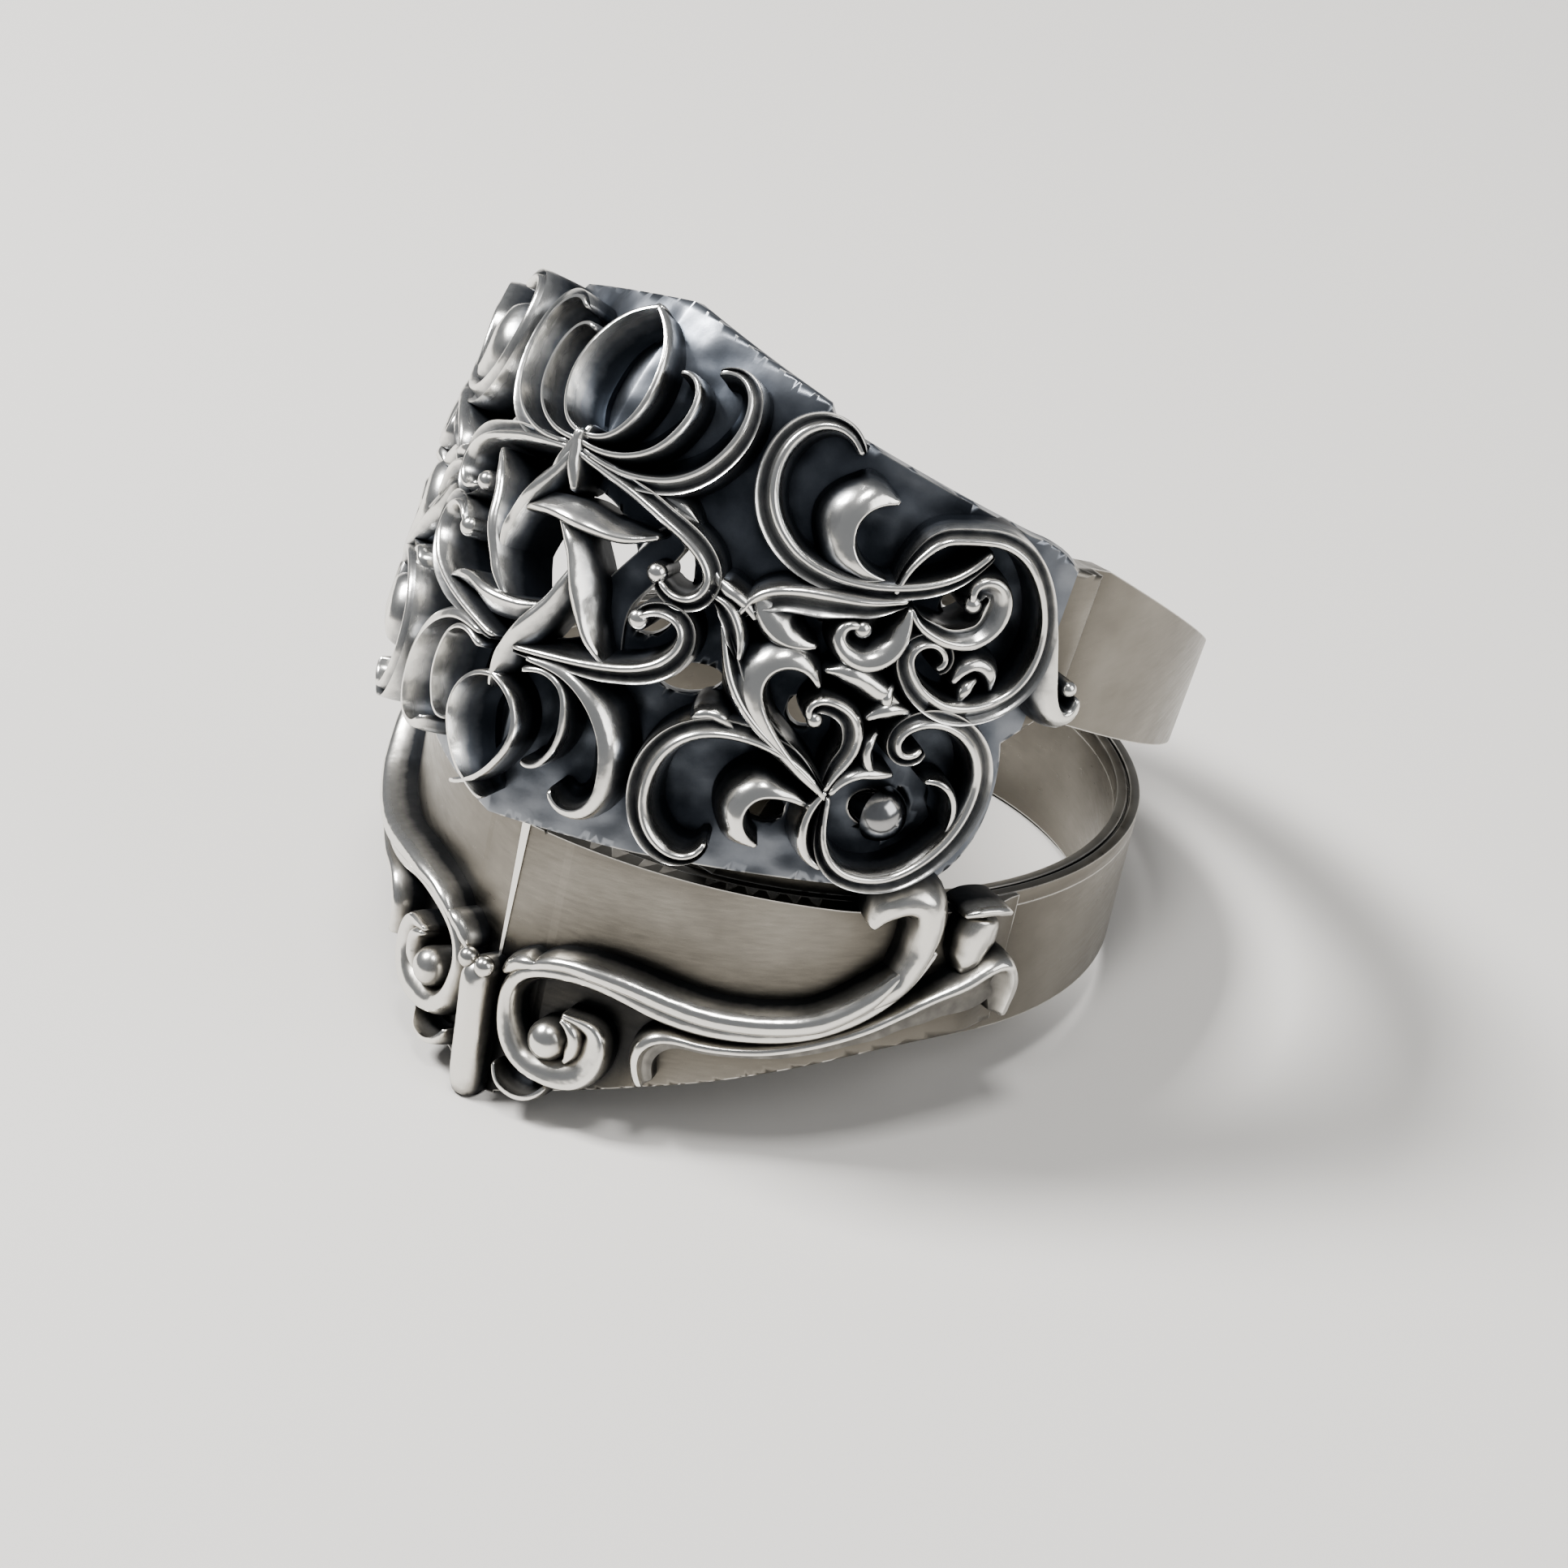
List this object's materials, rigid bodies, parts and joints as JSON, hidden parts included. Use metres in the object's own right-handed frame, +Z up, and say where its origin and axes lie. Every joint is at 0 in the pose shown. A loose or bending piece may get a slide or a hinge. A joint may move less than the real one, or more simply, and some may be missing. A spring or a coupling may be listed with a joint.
{
  "type": "armor ring",
  "caption": "Articulated armor ring in cast silver: a keeled lower ring and an upper ring whose pierced scrollwork shield swings on side rivets.",
  "frame": {"origin": "on the surface the ring rests on, below the middle of its box", "axes": "+Z up as it rests, -Y towards the shield and the front, +X to the wearer's side seen on the right from the front"},
  "size_m": [0.0244, 0.027, 0.0237],
  "materials": {
    "silver": "satin silver, worn bright on its edges",
    "dark_silver": "silver with blackened recesses and polished ridges",
    "rivet_silver": "polished silver, darkened round the rim"
  },
  "bodies": {
    "lower": {"lower_ring": "silver", "rivet_right": "rivet_silver", "rivet_left": "rivet_silver"},
    "upper": {"upper_ring": "dark_silver"}
  },
  "joints": [
    {"name": "shield_hinge", "type": "hinge", "parent": "lower", "child": "upper", "pos_m": [0, -0.00491, 0.01073], "axis": [1, 0, 0], "range_deg": [0, 10]}
  ]
}
